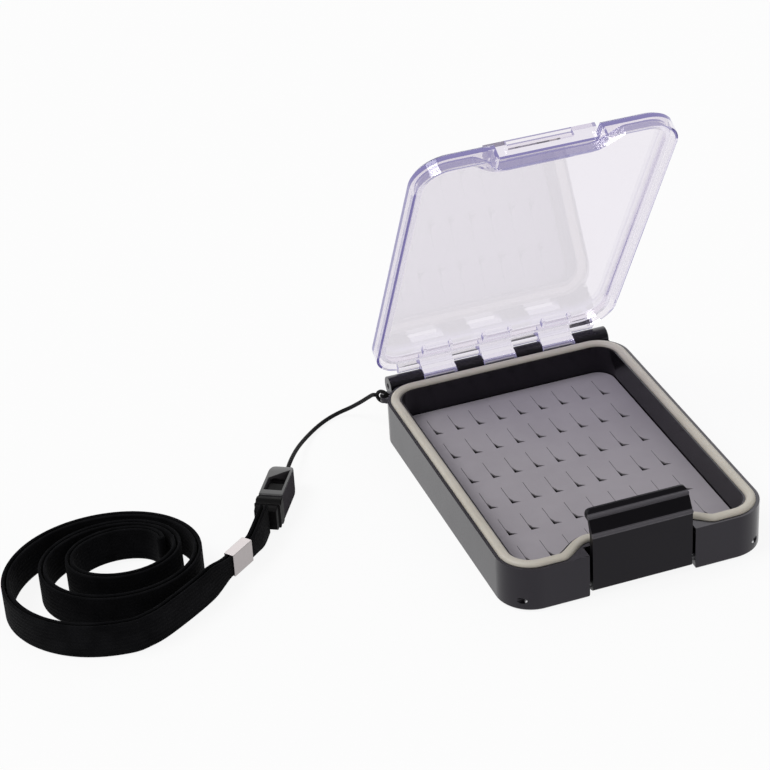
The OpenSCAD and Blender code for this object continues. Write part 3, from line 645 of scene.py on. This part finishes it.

# %% [markdown]
# ## Clear plastic
#
# The lid is water-clear from the front and violet along its edges, where light has run
# through tens of millimetres of plastic. A glass shader stays colourless at every thickness,
# so the inside absorbs a little. A ray that is caught between the walls is given up by the
# renderer after some turns and comes out black, so past a few turns the lid gives off the
# edges' violet itself: painted light, a glow in place of the light that would have come
# through. Shadow rays pass through, as light does through a clear lid.

# %% Lid plastic
# Polystyrene, moulded in a polished tool: clear, sharp reflections, pale violet in its depth
clear, tree, shader = surface("clear_moulded_polystyrene", "#f7f4f7", 0.02, IOR=1.5,
                              Transmission_Weight=1.0)
# A ray with more turns than this counts as caught
MOST_TURNS = 4.5
INSIDE_TINT, INSIDE_DENSITY = (0.25, 0.15, 0.62, 1), 32.0
path = put(tree, "ShaderNodeLightPath").outputs
trapped = maths(tree, "GREATER_THAN", path["Ray Depth"], MOST_TURNS)
# Painted light: caught rays see a violet glow from the lid, which is no lamp
painted_edge_glow = put(tree, "ShaderNodeEmission", Color=linear("#b0aecd"), Strength=1.0)
caught = mixed(tree, trapped, shader.outputs[0], painted_edge_glow.outputs[0])
passed = put(tree, "ShaderNodeBsdfTransparent", Color=linear("#f2f1f5"))
unseen = maths(tree, "MAXIMUM", path["Is Shadow Ray"], path["Is Diffuse Ray"])
finished = mixed(tree, unseen, caught, passed.outputs[0])
inside = put(tree, "ShaderNodeVolumeAbsorption", Color=INSIDE_TINT, Density=INSIDE_DENSITY)
ends = tree.nodes["Material Output"].inputs
tree.links.new(finished, ends["Surface"])
tree.links.new(inside.outputs[0], ends["Volume"])
print("clear:", clear.name)

# %% [markdown]
# ## Seal, foam and metal
#
# The seal is soft silicone, pale and satin. The foam is a closed-cell sheet: its skin is
# matte with tiny cells. The pins are drawn steel and the ferrule is nickel-plated sheet.

# %% Seal, foam and metal
# Silicone rubber, moulded: pale, waxy, light goes a little way in
silicone, tree, shader = surface("pale_moulded_silicone", "#c3bdb1", 0.42,
                                 Subsurface_Weight=0.15, Specular_IOR_Level=0.4,
                                 Subsurface_Radius=(0.0012, 0.001, 0.0008))
vary(tree, shader, grain(tree, 14.0, 2.0), "#bfb9ad", "#c8c2b7")
bump(tree, shader, grain(tree, 0.8, 2.0).outputs["Fac"], 0.01, 0.5)

# Closed-cell foam sheet: dull, with cells about 0.2 mm wide, drawn wider so that they show.
# Down in the cuts it is dark, and black in the wider notches, as hardly any light gets there
FOAM_TOP, SLIT_PITCH, SLIT_FRONT, NOTCH_L = 4.8, 13.9, 14.8, 3.4
CELL_MM, CUT_PALE, CUT_DARK = 0.5, 0.05, 0.7
foam, tree, shader = surface("closed_cell_foam_sheet", "#a49fa5", 0.92, Specular_IOR_Level=0.15)
cell_place = put(tree, "ShaderNodeTexCoord").outputs["Object"]
cells = put(tree, "ShaderNodeTexVoronoi", {"Vector": cell_place}, Scale=1 / (CELL_MM * MM))
bump(tree, shader, cells.outputs["Distance"], 0.04, 0.4)
skin = vary(tree, shader, grain(tree, 9.0, 2.0), "#a29da3", "#a6a1a7")
place = axes(tree)
height = mapped(tree, place["Z"], (FOAM_TOP - CUT_DARK) * MM, (FOAM_TOP - CUT_PALE) * MM)
# How far behind its notch's front a point lies, in each row of slits
row = maths(tree, "MULTIPLY", maths(tree, "SUBTRACT", place["Y"], FRONT_Y + SLIT_FRONT * MM),
            1 / (SLIT_PITCH * MM))
in_slit = maths(tree, "GREATER_THAN", maths(tree, "FRACT", row), NOTCH_L / SLIT_PITCH)
cut = between(tree, in_slit, "#0b090b", "#5a565b")
tree.links.new(between(tree, height, cut, skin), shader.inputs["Base Color"])

# Drawn steel rod: bright, with faint lines along it
steel, tree, shader = surface("drawn_steel_rod", "#c4c4c6", 0.28, Metallic=1.0)
bump(tree, shader, grain(tree, 0.25, 2.0, stretch=(0.05, 1, 1)).outputs["Fac"], 0.01, 0.4)

# Nickel-plated steel sheet, brushed before it was folded round the strap
nickel, tree, shader = surface("brushed_nickel_plate", "#aca6a6", 0.3, Metallic=1.0)
brushed = grain(tree, 0.3, 2.0, stretch=(1, 1, 0.04))
roughen(tree, shader, brushed, 0.24, 0.42)
bump(tree, shader, brushed.outputs["Fac"], 0.015, 0.5)
print("seal, foam and metals ready")

# %% [markdown]
# ## From CAD solid to moulded piece
#
# A moulded edge is never sharp: a tenth of a millimetre of rounding catches a line of light.
# A copy of the CAD mesh has its triangles joined back into whole faces, and a bevel with
# matched normals rounds each real edge. The CAD solid itself stays for collision.

# %% Rounding a copy of a CAD solid
# Points nearer than this are one point, in metres, and faces nearer than this to flat are one
SAME_POINT, NO_LENGTH = 2e-6, 1e-6
SAME_FACE = math.radians(0.6)
# How strongly large faces keep their own direction beside their rounded edges
FLAT_WEIGHT = 90


def rounded_copy(node, name, finish, radius_mm, segments=2, angle_deg=35):
    """A copy of a CAD node's mesh with rounded edges, in place of the node."""
    source = frame["nodes"][node]
    mesh = source.data.copy()
    mesh.name = name
    work = bmesh.new()
    work.from_mesh(mesh)
    bmesh.ops.remove_doubles(work, verts=work.verts, dist=SAME_POINT)
    bmesh.ops.dissolve_degenerate(work, edges=work.edges, dist=NO_LENGTH)
    bmesh.ops.dissolve_limit(work, angle_limit=SAME_FACE, verts=work.verts,
                             edges=work.edges, delimit=set())
    work.to_mesh(mesh)
    work.free()
    mesh.materials.clear()
    mesh.materials.append(finish)
    for face in mesh.polygons:
        face.use_smooth = True
    thing = new_piece(name, mesh)
    rounding = thing.modifiers.new("moulded_edges", "BEVEL")
    rounding.width = radius_mm * MM
    rounding.segments = segments
    rounding.limit_method = "ANGLE"
    rounding.angle_limit = math.radians(angle_deg)
    rounding.harden_normals = True
    flat_faces = thing.modifiers.new("flat_faces", "WEIGHTED_NORMAL")
    flat_faces.weight = FLAT_WEIGHT
    flat_faces.keep_sharp = True
    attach(thing, source["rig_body"])
    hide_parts(node)
    print(name, "has", len(mesh.polygons), "faces before rounding")
    return thing


tray = rounded_copy("base_shell", "smoke_tray", smoke, 0.25)
lid = rounded_copy("clear_lid", "clear_lid_moulding", clear, 0.2)
latch = rounded_copy("latch", "front_latch", black_abs, 0.3)
seal = swept_piece("seal_ring", seal_points, SEAL_W, SEAL_H, SEAL_ROUND, silicone, closed=True)
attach(seal, "base")
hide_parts("seal_gasket")
sheet = rounded_copy("foam_insert", "slit_foam_sheet", foam, 0.06, 1)
socket = rounded_copy("buckle_socket", "buckle_socket_shell", acetal, 0.4, 3)
insert = rounded_copy("buckle_insert", "buckle_insert_moulding", dull_acetal, 0.25)
crimp = rounded_copy("ferrule", "crimped_ferrule", nickel, 0.12)

# %% [markdown]
# ## Pins
#
# The two steel pins are plain rods, and their CAD solids are right as they are. Only their
# finish changes.

# %% Pins
for node in ("hinge_pin", "latch_pin"):
    pin = frame["nodes"][node]
    pin.data.materials.clear()
    pin.data.materials.append(steel)
print("pins dressed")

# %% [markdown]
# ## What belongs to what
#
# Every soft piece rides on the body that carries it, and stands for its CAD solid.

# %% Riding
for piece, body, node, material_slot in (
        (tether_loop, "base", "tether_loop", "black_cord"),
        (tether, "base", "tether_cord", "black_cord"),
        (strap, "neck_strap", "lanyard_strap", "black_webbing")):
    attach(piece, body)
    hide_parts(node)
